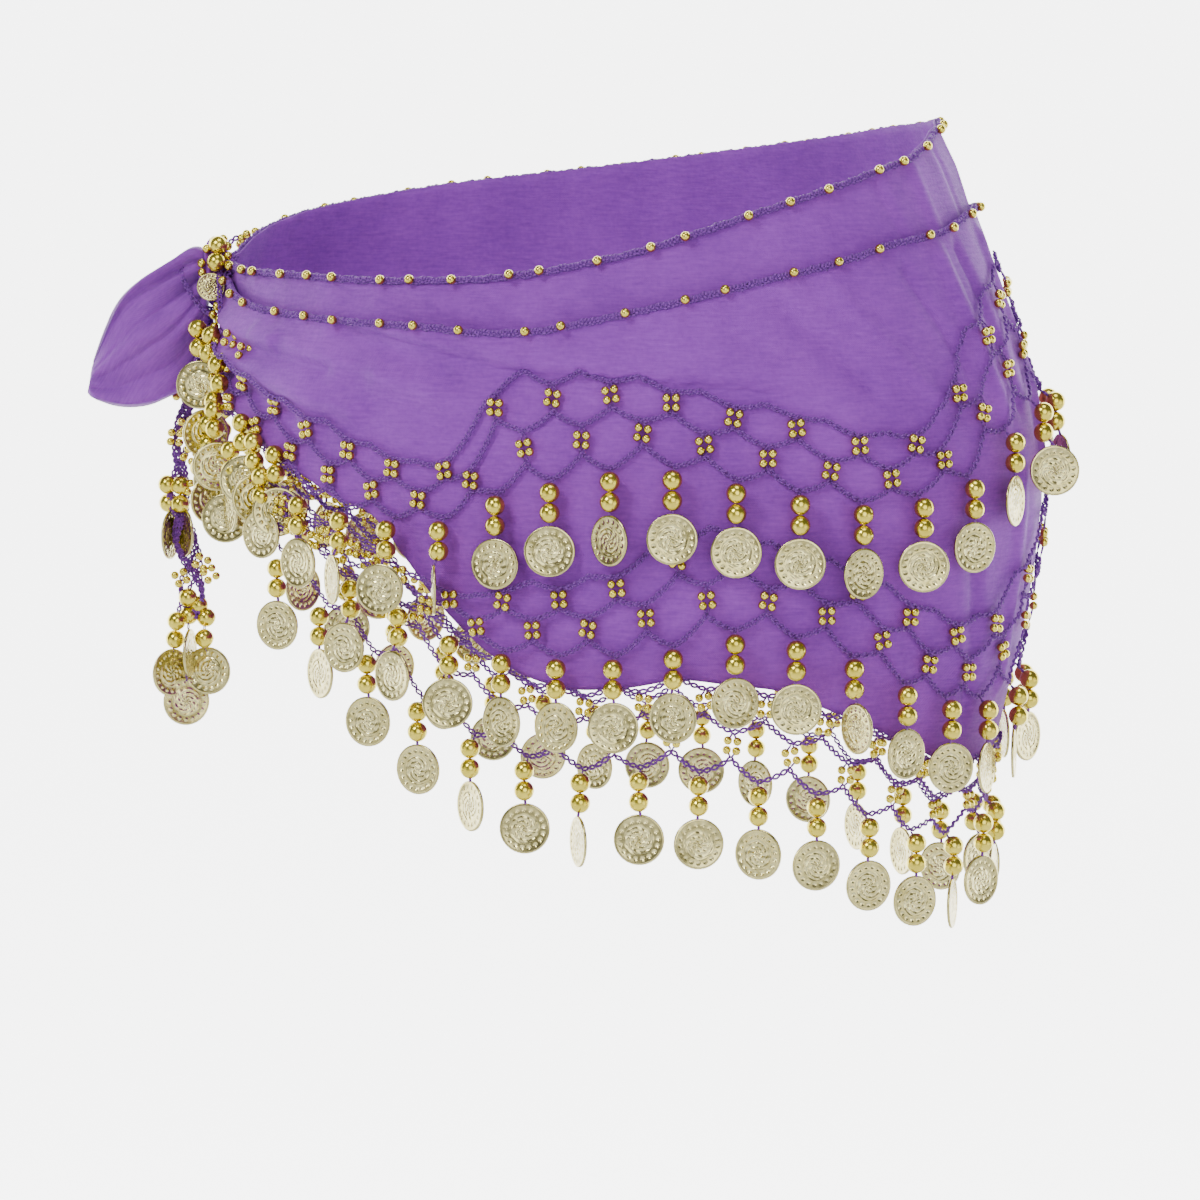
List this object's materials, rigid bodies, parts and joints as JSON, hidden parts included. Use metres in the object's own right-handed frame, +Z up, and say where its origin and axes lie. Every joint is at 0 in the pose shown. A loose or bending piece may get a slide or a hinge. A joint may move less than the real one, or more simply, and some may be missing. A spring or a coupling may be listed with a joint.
{
  "type": "belly dance hip scarf",
  "caption": "Purple chiffon belly dance hip scarf worn tied at one hip, with crocheted net tiers, gold beads and hanging coins.",
  "frame": {"origin": "centre of the hips at the height of the scarf's outer band edge at the front, where the hips hold it", "axes": "+Z up along the hips' axis, -Y to the wearer's front, +X to the wearer's left hip"},
  "size_m": [0.3804, 0.2622, 0.3017],
  "materials": {
    "chiffon": "matte",
    "crochet": "matte",
    "gold": "satin"
  },
  "bodies": {
    "root": {"inner_layer_front_right": "chiffon", "outer_layer_front_right": "chiffon", "inner_layer_front_left": "chiffon", "outer_layer_front_left": "chiffon", "inner_layer_back_left": "chiffon", "outer_layer_back_left": "chiffon", "inner_layer_back_right": "chiffon", "outer_layer_back_right": "chiffon", "top_trim_front": "crochet", "outer_trim_front": "crochet", "net_upper_front": "crochet", "net_middle_front": "crochet", "net_lower_front": "crochet", "coins_upper_front": "gold", "coins_middle_front": "gold", "coins_lower_front": "gold", "top_trim_back": "crochet", "outer_trim_back": "crochet", "net_upper_back": "crochet", "net_middle_back": "crochet", "net_lower_back": "crochet", "coins_upper_back": "gold", "coins_middle_back": "gold", "coins_lower_back": "gold", "knot": "chiffon", "bow_loop": "chiffon", "tail_net": "crochet", "tail_coins": "gold", "knot_coins": "gold"}
  },
  "joints": []
}
